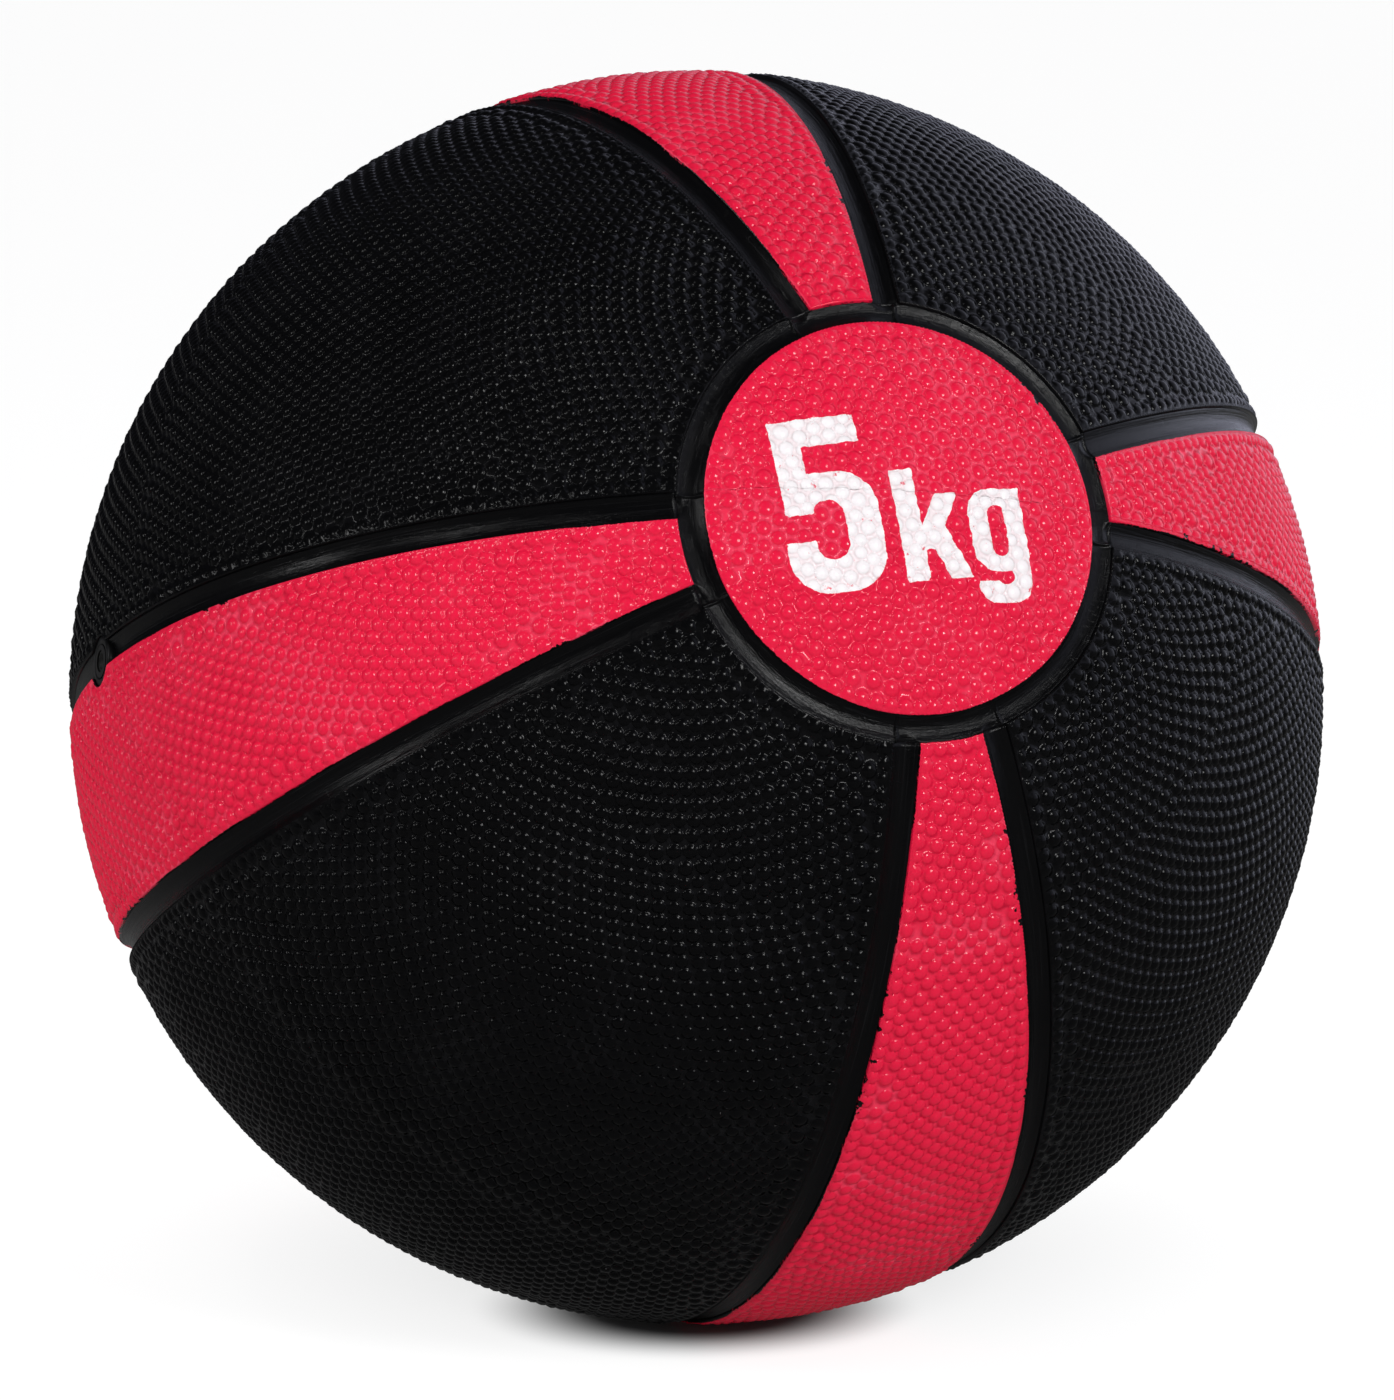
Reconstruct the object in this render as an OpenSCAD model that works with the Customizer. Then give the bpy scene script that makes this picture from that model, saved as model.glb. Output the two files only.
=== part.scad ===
// Rubber medicine ball, 5 kg, in its resting pose.
// A pebbled rubber cover in ten panels, divided by sunken channels, lies on a thick
// weighted shell. Inside that are a wound nylon layer, an air bladder and its valve.
// Origin: centre of the small flat that the ball makes on the floor. +Z is up,
// and the number disc looks towards -Y and a little up.

/* [Ball] */
// Diameter of the ball over its panels (mm)
ball_d = 240; // [190:1:290]
// Radius of the flat that the ball's own weight presses on the floor (mm)
rest_flat_r = 7.5; // [4:0.5:8.5]
// How far the number disc looks up from level (degrees)
disc_tilt = 25; // [15:1:30]
// Turn of the red strips about the disc's axis (degrees)
cover_turn = 5.3; // [2:0.1:7]

/* [Cover] */
// Thickness of the rubber panels (mm)
cover_t = 3; // [2.6:0.1:4]
// Radius of the rolled edge round each panel (mm)
shoulder_r = 1; // [0.6:0.1:1.6]
// Angle from the ball's axis to the edge of a disc (degrees)
disc_angle = 18; // [15:0.5:22]
// Width that one red strip takes on the equator, out of the 90 of a quarter (degrees)
strip_span = 22.5; // [18:0.5:30]

/* [Channels] */
// Width of the ring channel round a disc (mm)
ring_w = 4.4; // [3.5:0.1:5.5]
// Width of the channel on the red side of its dividing line (mm)
channel_red_side = 2; // [1.5:0.1:3]
// Width of the channel on the black side of its dividing line (mm)
channel_black_side = 3; // [2:0.1:4]
// Depth of the channel where it meets a panel (mm)
lip_depth = 1.1; // [0.6:0.1:1.3]
// Extra depth in the middle of the channel (mm)
channel_dip = 0.7; // [0.3:0.1:0.9]
// Flat land at each side of the dip (mm)
channel_land = 0.25; // [0.15:0.05:0.5]

/* [Inner layers] */
// Thickness of the weighted rubber shell (mm)
shell_t = 22; // [12:0.5:30]
// Thickness of the wound nylon layer (mm)
winding_t = 1.2; // [0.8:0.1:2.5]
// Wall of the air bladder (mm)
bladder_t = 1.6; // [1:0.1:3]
// Bond line left between one curved layer and the next (mm)
bond_gap = 0.1; // [0.05:0.05:0.3]

/* [Valve] */
// Angle from the number disc's axis to the valve (degrees)
valve_angle = 87.5; // [82:0.5:98]
// Radius of the round pad that carries the valve in its channel (mm)
pad_r = 4.8; // [4.2:0.1:6]
// Depth of that pad's top below the panels (mm)
pad_depth = 0.8; // [0.3:0.1:1]
// Radius of the valve housing's neck, in the hole of the pad (mm)
neck_r = 3.1; // [2.9:0.1:3.6]
// Radius of the valve housing's stem, in the bore of the shell (mm)
stem_r = 6; // [5.5:0.1:8]
// Radius of the valve housing's flange, against the inside of the bladder (mm)
flange_r = 15; // [11:0.5:22]
// Thickness of that flange (mm)
flange_t = 1.8; // [1.2:0.1:3]
// Radius of the valve core (mm)
core_r = 2; // [1.8:0.1:2.4]
// Length of the valve core (mm)
core_l = 18; // [14:0.5:20]
// Depth of the core's top below the pad (mm)
core_recess = 0.3; // [0.1:0.1:0.8]
// Radius of the bulb that keeps the core in its housing (mm)
bulb_r = 3.2; // [2.7:0.1:4]
// Height of the bulb's middle above the core's foot (mm)
bulb_up = 4; // [3:0.5:7]
// Radius of the needle bore (mm)
needle_r = 1; // [0.8:0.05:1.2]
// Radius of the mouth of the funnel that leads the needle in (mm)
funnel_r = 1.6; // [1.4:0.1:1.7]
// Rubber below the point of the needle bore, where the shut slit is (mm)
tip_t = 1; // [0.8:0.1:2]
// Radius of the air passage below the core (mm)
passage_r = 1.5; // [1.2:0.1:1.8]
// Gap between the core and its housing (mm)
core_gap = 0.05; // [0.02:0.01:0.1]

/* [Hidden] */
$fn = 180;
ball_r = ball_d/2;
// height of the ball's centre, with its lowest cap pressed flat
centre_z = sqrt(pow(ball_r, 2) - pow(rest_flat_r, 2));
quarter = 90;
panel_span = quarter - strip_span;
half_strip = strip_span/2;

// radii of the layers, from the outside in
cover_inner_r = ball_r - cover_t;
shell_outer_r = cover_inner_r - bond_gap;
shell_inner_r = shell_outer_r - shell_t;
winding_outer_r = shell_inner_r - bond_gap;
winding_inner_r = winding_outer_r - winding_t;
bladder_outer_r = winding_inner_r - bond_gap;
bladder_inner_r = bladder_outer_r - bladder_t;
flange_outer_r = bladder_inner_r - bond_gap;

// walls round the discs, as radii about the ball's axis
disc_wall = ball_r*sin(disc_angle);
ring_inner = disc_wall + bond_gap;
ring_outer = ring_inner + ring_w;
panel_wall = ring_outer + bond_gap;

// the channels beside the strips open into the ring channel as far as its middle, a little
// above its floor
junction_rise = 0.03;
ring_middle = asin((ring_inner + ring_outer)/ball_d);
junction_end = asin(panel_wall/ball_r) + 1;

// the rolled edge meets the panel's faces at a slight angle, not quite tangent
shoulder_bite = 0.02*shoulder_r;
outside = 3;

// the valve lies in the channel over the left red strip
valve_turn = cover_turn + 2*quarter - half_strip;
pad_top_r = ball_r - pad_depth;
core_top_r = pad_top_r - core_recess;
core_foot_r = core_top_r - core_l;
bulb_l = 3*(bulb_r - core_r);
bulb_mid_r = core_foot_r + bulb_up;
bore_foot_r = core_foot_r + tip_t + needle_r;
funnel_foot_r = core_top_r - 2*(funnel_r - needle_r);
neck_hole_r = neck_r + bond_gap;
stem_hole_r = stem_r + bond_gap;

red = [0.86, 0.08, 0.25];
black = [0.07, 0.07, 0.08];

// ---- places ----

// the ball's own frame: Z is the axis through both discs, X is the ball's right
module in_ball() {
    translate([0, 0, centre_z])
        rotate([90 - disc_tilt, 0, 0])
            children();
}

// the valve's frame: Z runs from the ball's centre out through the valve
module on_valve() {
    rotate([0, 0, valve_turn])
        rotate([0, valve_angle, 0])
            children();
}

// a cover piece, in place and flat where the ball rests
module cover_piece(paint) {
    color(paint)
        difference() {
            in_ball() children();
            translate([0, 0, -outside])
                cylinder(h = outside, r = rest_flat_r + outside);
        }
}

// ---- profiles ----

// ring between two radii, in the plane of the page
module band(outer_r, inner_r) {
    difference() {
        circle(r = outer_r);
        circle(r = inner_r);
    }
}

// what a rolled edge takes off a panel that lies on one side (+1 or -1) of a wall
module shoulder_cut(wall, side) {
    mid_x = wall + side*(shoulder_r - shoulder_bite);
    mid_r = ball_r - shoulder_r + shoulder_bite;
    mid_y = sqrt(pow(mid_r, 2) - pow(mid_x, 2));
    reach = (ball_r + outside)/mid_r;
    difference() {
        polygon([[mid_x, mid_y],
                 [wall - side*outside, mid_y],
                 [wall - side*outside, ball_r + outside],
                 [mid_x*reach, mid_y*reach]]);
        translate([mid_x, mid_y])
            circle(r = shoulder_r, $fn = 48);
    }
}

// round hollow in the top of a channel between two walls
module hollow(low_wall, high_wall, depth) {
    hollow_w = high_wall - low_wall - 2*channel_land;
    hollow_r = (pow(hollow_w/2, 2) + pow(depth, 2))/(2*depth);
    lean = asin((low_wall + high_wall)/(2*ball_r));
    hollow_mid = ball_r - lip_depth - depth + hollow_r;
    translate([hollow_mid*sin(lean), hollow_mid*cos(lean)])
        circle(r = hollow_r);
}

// hollow-topped section of a channel between two walls, down to a foot radius
module channel_section(low_wall, high_wall, foot_r) {
    difference() {
        intersection() {
            band(ball_r - lip_depth, foot_r);
            translate([low_wall, 0])
                square([high_wall - low_wall, ball_r]);
        }
        hollow(low_wall, high_wall, channel_dip);
    }
}

// swap the two axes of a profile
module swapped() {
    mirror([1, -1, 0])
        children();
}

// ---- cover ----

// round panel over one end of the ball's axis
module disc() {
    rotate_extrude()
        difference() {
            intersection() {
                band(ball_r, cover_inner_r);
                square([disc_wall, ball_r]);
            }
            shoulder_cut(disc_wall, -1);
        }
}

// slice of the cover from one ring channel to the other
module cover_slice(span) {
    rotate_extrude(angle = span, start = -span/2)
        difference() {
            intersection() {
                band(ball_r, cover_inner_r);
                translate([panel_wall, -ball_r])
                    square([ball_r, ball_d]);
            }
            for (end = [0, 1])
                mirror([0, end])
                    shoulder_cut(panel_wall, 1);
        }
}

// everything that lies more than inset beyond the plane XZ, with a rolled edge
module beyond_wall(inset) {
    rotate([-90, 0, 0])
        rotate_extrude()
            difference() {
                translate([0, inset])
                    square([ball_r + outside, ball_r]);
                swapped() shoulder_cut(inset, 1);
            }
}

// panel about +X that spans an angle, less the channel's inset along both sides
module panel(span, inset) {
    intersection() {
        cover_slice(span);
        rotate([0, 0, -span/2])
            beyond_wall(inset);
        mirror([0, 1, 0])
            rotate([0, 0, -span/2])
                beyond_wall(inset);
    }
}

// room that the valve's pad takes out of the panels beside it
module pad_room() {
    on_valve()
        translate([0, 0, cover_inner_r - outside])
            cylinder(h = cover_t + 2*outside, r = pad_r + bond_gap, $fn = 96);
}

// quarter 0 looks right, 1 up, 2 left and 3 down
module red_strip(quarter_index) {
    cover_piece(red)
        difference() {
            rotate([0, 0, cover_turn + quarter*quarter_index])
                panel(strip_span, channel_red_side);
            if (quarter_index == 2) pad_room();
        }
}

// quarter 0 lies between the right and the upper strip, and so on round
module black_panel(quarter_index) {
    cover_piece(black)
        difference() {
            rotate([0, 0, cover_turn + quarter*(quarter_index + 0.5)])
                panel(panel_span, channel_black_side);
            if (quarter_index == 1) pad_room();
        }
}

// edge of a red strip: its red side faces -Y. Side 1 is the edge anticlockwise of the
// strip's middle, seen from the front, and -1 the other one
module on_strip_edge(quarter_index, side) {
    rotate([0, 0, cover_turn + quarter*quarter_index + side*half_strip])
        mirror([0, side > 0 ? 0 : 1, 0])
            children();
}

// channel beside a red strip
module channel_run(quarter_index, side, foot_r) {
    on_strip_edge(quarter_index, side)
        difference() {
            rotate([-90, 0, 0])
                rotate_extrude(angle = 180, start = -90)
                    swapped() channel_section(-channel_red_side, channel_black_side, foot_r);
            cylinder(h = 2*(ball_r + outside), r = panel_wall, center = true);
        }
}

module channel_strip(quarter_index, side) {
    cover_piece(black)
        channel_run(quarter_index, side, cover_inner_r);
}

// the channel that carries the valve widens there into a round pad with a hole
module valve_channel_strip(quarter_index, side) {
    cover_piece(black)
        difference() {
            union() {
                channel_run(quarter_index, side, cover_inner_r - outside);
                on_valve()
                    rotate_extrude()
                        intersection() {
                            band(pad_top_r, cover_inner_r - outside);
                            square([pad_r, ball_r]);
                        }
            }
            sphere(r = cover_inner_r);
            on_valve()
                translate([0, 0, cover_inner_r - outside])
                    cylinder(h = cover_t + 2*outside, r = neck_hole_r, $fn = 96);
        }
}

// where the channel beside a red strip opens into a ring channel
module junction(quarter_index, side) {
    on_strip_edge(quarter_index, side)
        rotate([-90, 0, 0])
            rotate_extrude(angle = junction_end - ring_middle, start = ring_middle - quarter)
                swapped() hollow(-channel_red_side, channel_black_side, channel_dip - junction_rise);
}

// channel that runs round a disc, open to the eight channels that meet it
module ring_channel() {
    difference() {
        rotate_extrude()
            channel_section(ring_inner, ring_outer, cover_inner_r);
        for (quarter_index = [0:3])
            for (side = [-1, 1])
                junction(quarter_index, side);
    }
}

module number_disc() {
    cover_piece(red) disc();
}

module rear_disc() {
    cover_piece(red) mirror([0, 0, 1]) disc();
}

module ring_channel_front() {
    cover_piece(black) ring_channel();
}

module ring_channel_rear() {
    cover_piece(black) mirror([0, 0, 1]) ring_channel();
}

// ---- inner layers ----

// hollow round layer about the valve's axis, from one height to another, with a hole on the axis
module layer(outer_r, inner_r, hole_r, low, high) {
    in_ball() on_valve()
        rotate_extrude()
            intersection() {
                band(outer_r, inner_r);
                translate([hole_r, low])
                    square([outer_r, high - low]);
            }
}

module weight_shell_valve_half() {
    color([0.2, 0.2, 0.21])
        layer(shell_outer_r, shell_inner_r, stem_hole_r, 0, ball_r);
}

module weight_shell_plain_half() {
    color([0.26, 0.26, 0.27])
        layer(shell_outer_r, shell_inner_r, 0, -ball_r, 0);
}

module nylon_winding() {
    color([0.85, 0.84, 0.78])
        layer(winding_outer_r, winding_inner_r, stem_hole_r, -ball_r, ball_r);
}

module air_bladder() {
    color([0.15, 0.13, 0.12])
        layer(bladder_outer_r, bladder_inner_r, stem_hole_r, -ball_r, ball_r);
}

// ---- valve ----

// half section of the core's outside, made larger all round by a gap
module core_outline(gap) {
    translate([0, core_foot_r - gap])
        square([core_r + gap, core_l + 2*gap]);
    polygon([[0, bulb_mid_r - bulb_l/2 - gap],
             [core_r + gap, bulb_mid_r - bulb_l/2 - gap],
             [bulb_r + gap, bulb_mid_r],
             [core_r + gap, bulb_mid_r + bulb_l/2 + gap],
             [0, bulb_mid_r + bulb_l/2 + gap]]);
}

module valve_core() {
    color([0.55, 0.5, 0.42])
        in_ball() on_valve()
            rotate_extrude($fn = 96)
                difference() {
                    core_outline(0);
                    polygon([[0, bore_foot_r - needle_r],
                             [needle_r, bore_foot_r],
                             [needle_r, funnel_foot_r],
                             [funnel_r, core_top_r],
                             [funnel_r, core_top_r + outside],
                             [0, core_top_r + outside]]);
                }
}

module valve_housing() {
    color([0.1, 0.1, 0.1])
        in_ball() on_valve()
            rotate_extrude($fn = 96)
                difference() {
                    union() {
                        intersection() {
                            band(flange_outer_r, flange_outer_r - flange_t, $fn = 180);
                            square([flange_r, ball_r]);
                        }
                        intersection() {
                            circle(r = shell_outer_r, $fn = 180);
                            translate([0, flange_outer_r - flange_t])
                                square([stem_r, ball_r]);
                        }
                        intersection() {
                            circle(r = pad_top_r, $fn = 180);
                            translate([0, cover_inner_r - cover_t])
                                square([neck_r, ball_r]);
                        }
                    }
                    core_outline(core_gap);
                    translate([0, core_top_r])
                        square([core_r + core_gap, cover_t]);
                    translate([0, bladder_inner_r/2])
                        square([passage_r, bladder_inner_r]);
                }
}

number_disc();
rear_disc();
red_strip(0);  // red_strip_right
red_strip(1);  // red_strip_upper
red_strip(2);  // red_strip_left
red_strip(3);  // red_strip_lower
black_panel(0);  // black_panel_upper_right
black_panel(1);  // black_panel_upper_left
black_panel(2);  // black_panel_lower_left
black_panel(3);  // black_panel_lower_right
channel_strip(0, -1);  // channel_strip_1
channel_strip(0, 1);  // channel_strip_2
channel_strip(1, -1);  // channel_strip_3
channel_strip(1, 1);  // channel_strip_4
valve_channel_strip(2, -1);  // channel_strip_5
channel_strip(2, 1);  // channel_strip_6
channel_strip(3, -1);  // channel_strip_7
channel_strip(3, 1);  // channel_strip_8
ring_channel_front();
ring_channel_rear();
weight_shell_valve_half();
weight_shell_plain_half();
nylon_winding();
air_bladder();
valve_housing();
valve_core();
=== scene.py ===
"""Medicine ball: pebbled rubber panels, sunken channels, a printed weight mark and a valve."""
import math

import bpy
import numpy as np
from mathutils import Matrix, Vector, geometry, kdtree


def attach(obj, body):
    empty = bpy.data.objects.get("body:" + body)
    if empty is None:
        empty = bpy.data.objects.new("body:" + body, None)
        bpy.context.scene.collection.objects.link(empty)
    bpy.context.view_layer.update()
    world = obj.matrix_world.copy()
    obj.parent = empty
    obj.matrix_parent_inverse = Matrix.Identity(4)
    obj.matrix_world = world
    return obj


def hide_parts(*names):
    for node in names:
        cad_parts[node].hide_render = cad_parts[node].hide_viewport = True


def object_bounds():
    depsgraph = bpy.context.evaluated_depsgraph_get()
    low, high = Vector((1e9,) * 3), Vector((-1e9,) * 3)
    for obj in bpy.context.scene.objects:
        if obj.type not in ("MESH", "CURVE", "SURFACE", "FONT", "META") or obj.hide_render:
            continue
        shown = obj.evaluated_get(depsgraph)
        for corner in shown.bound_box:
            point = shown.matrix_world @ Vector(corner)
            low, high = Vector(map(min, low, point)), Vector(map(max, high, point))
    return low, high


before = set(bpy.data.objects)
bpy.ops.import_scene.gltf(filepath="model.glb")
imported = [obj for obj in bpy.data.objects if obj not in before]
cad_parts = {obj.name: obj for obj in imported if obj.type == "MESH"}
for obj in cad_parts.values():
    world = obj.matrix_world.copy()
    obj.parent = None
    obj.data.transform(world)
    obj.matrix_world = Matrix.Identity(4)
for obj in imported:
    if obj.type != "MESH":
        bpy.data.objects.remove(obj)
cad_low, cad_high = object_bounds()

# ---------------------------------------------------------------- sizes (metres, radians)

MM = 0.001
BALL_R = (cad_high.x - cad_low.x)/2
CENTRE = np.array([0.0, 0.0, cad_high.z - BALL_R])
COVER_T = 3*MM
INNER_R = BALL_R - COVER_T

DISC_TILT = math.radians(25)
COVER_TURN = math.radians(5.3)
QUARTER = math.radians(90)
STRIP_SPAN = math.radians(22.5)
DISC_ANGLE = math.radians(18)
RING_W = 4.6*MM
PANEL_ANGLE = math.asin(math.sin(DISC_ANGLE) + RING_W/BALL_R)
RED_INSET = 2*MM
BLACK_INSET = 3*MM
LIP_R = 0.4*MM
LIP_H = 0.35*MM
LIP_FADE = (0.25*MM, 0.55*MM)
LIP_DEPTH = 1.1*MM
CHANNEL_DIP = 0.95*MM
SIDE_TUCK = 0.25*MM
END_TUCK = 0.1*MM
FLASH_H = 0.45*MM
FLASH_R = 0.2*MM

PEBBLE_PITCH = 2.78*MM
PEBBLE_AREA = 7.3*MM*MM
NEIGHBOUR_REACH = 2.5*PEBBLE_PITCH
SECOND_ROW = 0.72*PEBBLE_PITCH
PEBBLE_R = 1.5*MM
PEBBLE_LEAST_R = 0.9*MM
PEBBLE_H = 0.64*MM
PEBBLE_START = 0.45*MM
PEBBLE_FULL = 1.0*MM
EDGE_ROW = 1.4*MM
EDGE_STEP = 0.8*MM
BARE_EDGE = 0.75*MM
RED_RINGS = ((0.35, 5), (0.68, 8), (0.88, 12), (0.97, 12))
BLACK_RINGS = ((0.55, 6), (0.94, 10))
LIP_LOOPS = (0.0, 0.1*MM, 0.25*MM, 0.4*MM, 0.6*MM)
MERGE_WITHIN = 1e-7

VALVE_TURN = COVER_TURN + 2*QUARTER - STRIP_SPAN/2
VALVE_ANGLE = math.radians(87.5)
PAD_R = 4.8*MM
PAD_HOLE_R = 3.2*MM
PAD_DEPTH = 0.8*MM
PAD_ROLL = 0.4*MM
PAD_STEPS = 72
PARTING_OFFSET = 3*MM

RIGHT = np.array([1.0, 0.0, 0.0])
UPWARD = np.array([0.0, math.sin(DISC_TILT), math.cos(DISC_TILT)])
AXIS = np.array([0.0, -math.cos(DISC_TILT), math.sin(DISC_TILT)])
BALL_AXES = np.array([RIGHT, UPWARD, AXIS])
BACKWARD = [0, 0, -1]
ASIDE = [0.31, 0.17, 0.93]


def direction(angle, turn):
    """Unit vector in the ball's own frame: angle from the disc's axis, turn about it."""
    return np.array([math.sin(angle)*math.cos(turn), math.sin(angle)*math.sin(turn), math.cos(angle)])


VALVE = direction(VALVE_ANGLE, VALVE_TURN)
PARTING_NORMAL = np.array([math.sin(VALVE_TURN), -math.cos(VALVE_TURN), 0.0]) @ BALL_AXES
PARTING_AT = float(PARTING_NORMAL @ CENTRE) + PARTING_OFFSET


def in_world(directions, radius):
    """Points at a radius from the ball's centre, held above the floor."""
    points = CENTRE + (directions*np.asarray(radius).reshape(-1, 1)) @ BALL_AXES
    points[:, 2] = np.maximum(points[:, 2], 0.0)
    return points


def smooth(low, high, value):
    """0 below low, 1 above high, and a smooth rise between."""
    t = np.clip((value - low)/(high - low), 0, 1)
    return t*t*(3 - 2*t)


def compass(directions, aside):
    """Unit vectors east and north of points on the ball. aside is a direction off them all."""
    east = np.cross(directions, aside)
    east /= np.linalg.norm(east, axis=-1, keepdims=True)
    return east, np.cross(directions, east)


# ---------------------------------------------------------------- outlines of the panels


def arc_distance(directions, centre):
    """Distance along the ball's surface from a point on it."""
    return BALL_R*np.arccos(np.clip(directions @ centre, -1, 1))


class Disc:
    """Round panel over one end of the axis. side is 1 at the front and -1 at the rear."""

    def __init__(self, side):
        self.side = side
        self.middle = np.array([0.0, 0.0, float(side)])

    def inset(self, directions):
        """Distance in from the panel's edge."""
        return BALL_R*(DISC_ANGLE - np.arccos(np.clip(directions @ self.middle, -1, 1)))

    def outline(self, offset, spacing):
        """Points round the panel, at an offset in from its edge."""
        angle = DISC_ANGLE - offset/BALL_R
        count = round(2*math.pi*BALL_R*math.sin(angle)/spacing)
        turns = np.arange(count)*2*math.pi/count
        flat = math.sin(angle)*np.c_[np.cos(turns), self.side*np.sin(turns)]
        return np.c_[flat, np.full(count, self.side*math.cos(angle))]


class Slice:
    """Panel from one ring channel to the other, about a middle turn."""

    def __init__(self, middle_turn, span, side_inset, beside_valve):
        self.middle_turn = middle_turn
        self.span = span
        self.side_inset = side_inset
        self.beside_valve = beside_valve
        self.middle = direction(QUARTER, middle_turn)
        low, high = middle_turn - span/2, middle_turn + span/2
        self.sides = [(np.array([-math.sin(low), math.cos(low), 0]), direction(QUARTER, low)),
                      (np.array([math.sin(high), -math.cos(high), 0]), direction(QUARTER, high))]

    def inset(self, directions):
        """Distance in from the panel's edge."""
        polar = np.arccos(np.clip(directions[:, 2], -1, 1))
        gaps = [BALL_R*(polar - PANEL_ANGLE), BALL_R*(math.pi - polar - PANEL_ANGLE)]
        for normal, _ in self.sides:
            gaps.append(BALL_R*np.arcsin(np.clip(directions @ normal, -1, 1)) - self.side_inset)
        if self.beside_valve:
            gaps.append(arc_distance(directions, VALVE) - PAD_R)
        return np.min(gaps, axis=0)

    def outline(self, offset, spacing):
        """Points round the panel, at an offset in from its edge: down its first side, along its
        rear end, up the other side and back along its front end."""
        end_angle = PANEL_ANGLE + offset/BALL_R
        height = math.sin((self.side_inset + offset)/BALL_R)
        reach = math.sqrt(1 - height*height)
        top = math.asin(math.cos(end_angle)/reach)
        half_turn = self.span/2 - math.asin(height/math.sin(end_angle))
        curves = []
        for (normal, out), sense, pole in zip(self.sides, (-1, 1), (-1, 1)):
            count = round(2*top*BALL_R*reach/spacing)
            rise = sense*np.linspace(-top, top, count, endpoint=False)
            circle = np.outer(np.cos(rise), out) + np.outer(np.sin(rise), [0, 0, 1])
            curves.append(height*normal + reach*circle)
            count = round(2*half_turn*BALL_R*math.sin(end_angle)/spacing)
            turns = self.middle_turn - pole*np.linspace(-half_turn, half_turn, count, endpoint=False)
            flat = math.sin(end_angle)*np.c_[np.cos(turns), np.sin(turns)]
            curves.append(np.c_[flat, np.full(count, pole*math.cos(end_angle))])
        loop = np.vstack(curves)
        return self._round_the_pad(loop, offset, spacing) if self.beside_valve else loop

    def _round_the_pad(self, loop, offset, spacing):
        """The outline, led round the valve's pad."""
        radius = PAD_R + offset
        hit = arc_distance(loop, VALVE) < radius + spacing/3
        if not hit.any():
            return loop
        start = int(np.argmax(hit & ~np.roll(hit, 1)))
        loop, hit = np.roll(loop, -start, axis=0), np.roll(hit, -start)
        kept = loop[~hit]
        east, north = compass(VALVE, BACKWARD)
        before, after, inner = (math.atan2(float(p @ north), float(p @ east))
                                for p in (kept[-1], kept[0], self.middle))
        sweep = (after - before) % (2*math.pi)
        if (inner - before) % (2*math.pi) > sweep:
            sweep -= 2*math.pi
        count = max(round(abs(sweep)*radius/spacing), 3)
        bearings = before + sweep*np.arange(1, count)/count
        angle = radius/BALL_R
        arc = math.cos(angle)*VALVE + math.sin(angle)*(np.outer(np.cos(bearings), east)
                                                       + np.outer(np.sin(bearings), north))
        return np.vstack([kept, arc])


# ---------------------------------------------------------------- pebbles


def spiral_lattice():
    """Evenly spread points over the whole ball."""
    count = int(4*math.pi*BALL_R*BALL_R/PEBBLE_AREA)
    index = np.arange(count) + 0.5
    height = 1 - 2*index/count
    turn = index*math.pi*(3 - math.sqrt(5))
    ring = np.sqrt(1 - height*height)
    return np.c_[ring*np.cos(turn), ring*np.sin(turn), height]


def flattened(directions, middle):
    """Stereographic map of part of the ball about its middle, in millimetres."""
    east, north = compass(middle, ASIDE)
    return np.c_[directions @ east, directions @ north]*(BALL_R/MM)/(1 + directions @ middle)[:, None]


def triangulated(directions, middle, loop_count, inset):
    """Triangles over points whose first loop_count points are the closed outline."""
    flat = [Vector(p) for p in flattened(directions, middle)]
    edges = [(i, (i + 1) % loop_count) for i in range(loop_count)]
    triangles = np.array(geometry.delaunay_2d_cdt(flat, edges, [], 0, MERGE_WITHIN, False)[2])
    centres = directions[triangles].mean(axis=1)
    centres /= np.linalg.norm(centres, axis=1)[:, None]
    triangles = triangles[inset(centres) > 0]
    corners = directions[triangles]
    normals = np.cross(corners[:, 1] - corners[:, 0], corners[:, 2] - corners[:, 0])
    inward = np.einsum("ij,ij->i", normals, corners[:, 0]) < 0
    triangles[inward] = triangles[inward][:, ::-1]
    return triangles


def relaxed(sites, fixed_count, middle, rounds):
    """Sites evened out towards the middle of their neighbours, the first ones staying put."""
    for _ in range(rounds):
        flat = [Vector(p) for p in flattened(sites, middle)]
        triangles = np.array(geometry.delaunay_2d_cdt(flat, [], [], 0, MERGE_WITHIN, False)[2])
        links = np.vstack([triangles[:, [0, 1]], triangles[:, [1, 2]], triangles[:, [2, 0]]])
        links = np.unique(np.sort(links, axis=1), axis=0)
        lengths = BALL_R*np.linalg.norm(sites[links[:, 0]] - sites[links[:, 1]], axis=1)
        links = links[lengths < NEIGHBOUR_REACH]
        total, number = np.zeros_like(sites), np.zeros(len(sites))
        for here, there in ((0, 1), (1, 0)):
            np.add.at(total, links[:, here], sites[links[:, there]])
            np.add.at(number, links[:, here], 1)
        moved = 0.5*sites + 0.5*total/np.maximum(number, 1)[:, None]
        moved[:fixed_count] = sites[:fixed_count]
        sites = moved/np.linalg.norm(moved, axis=1)[:, None]
    return sites


def pebble_sites(shape):
    """Middles of a panel's pebbles: one row along its edge, and the rest close-packed inside."""
    row = shape.outline(EDGE_ROW, PEBBLE_PITCH)
    inner = spiral_lattice()
    inner = inner[inner @ shape.middle > -0.2]
    inner = inner[shape.inset(inner) > EDGE_ROW + SECOND_ROW]
    return relaxed(np.vstack([row, inner]), len(row), shape.middle, 4)


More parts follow.
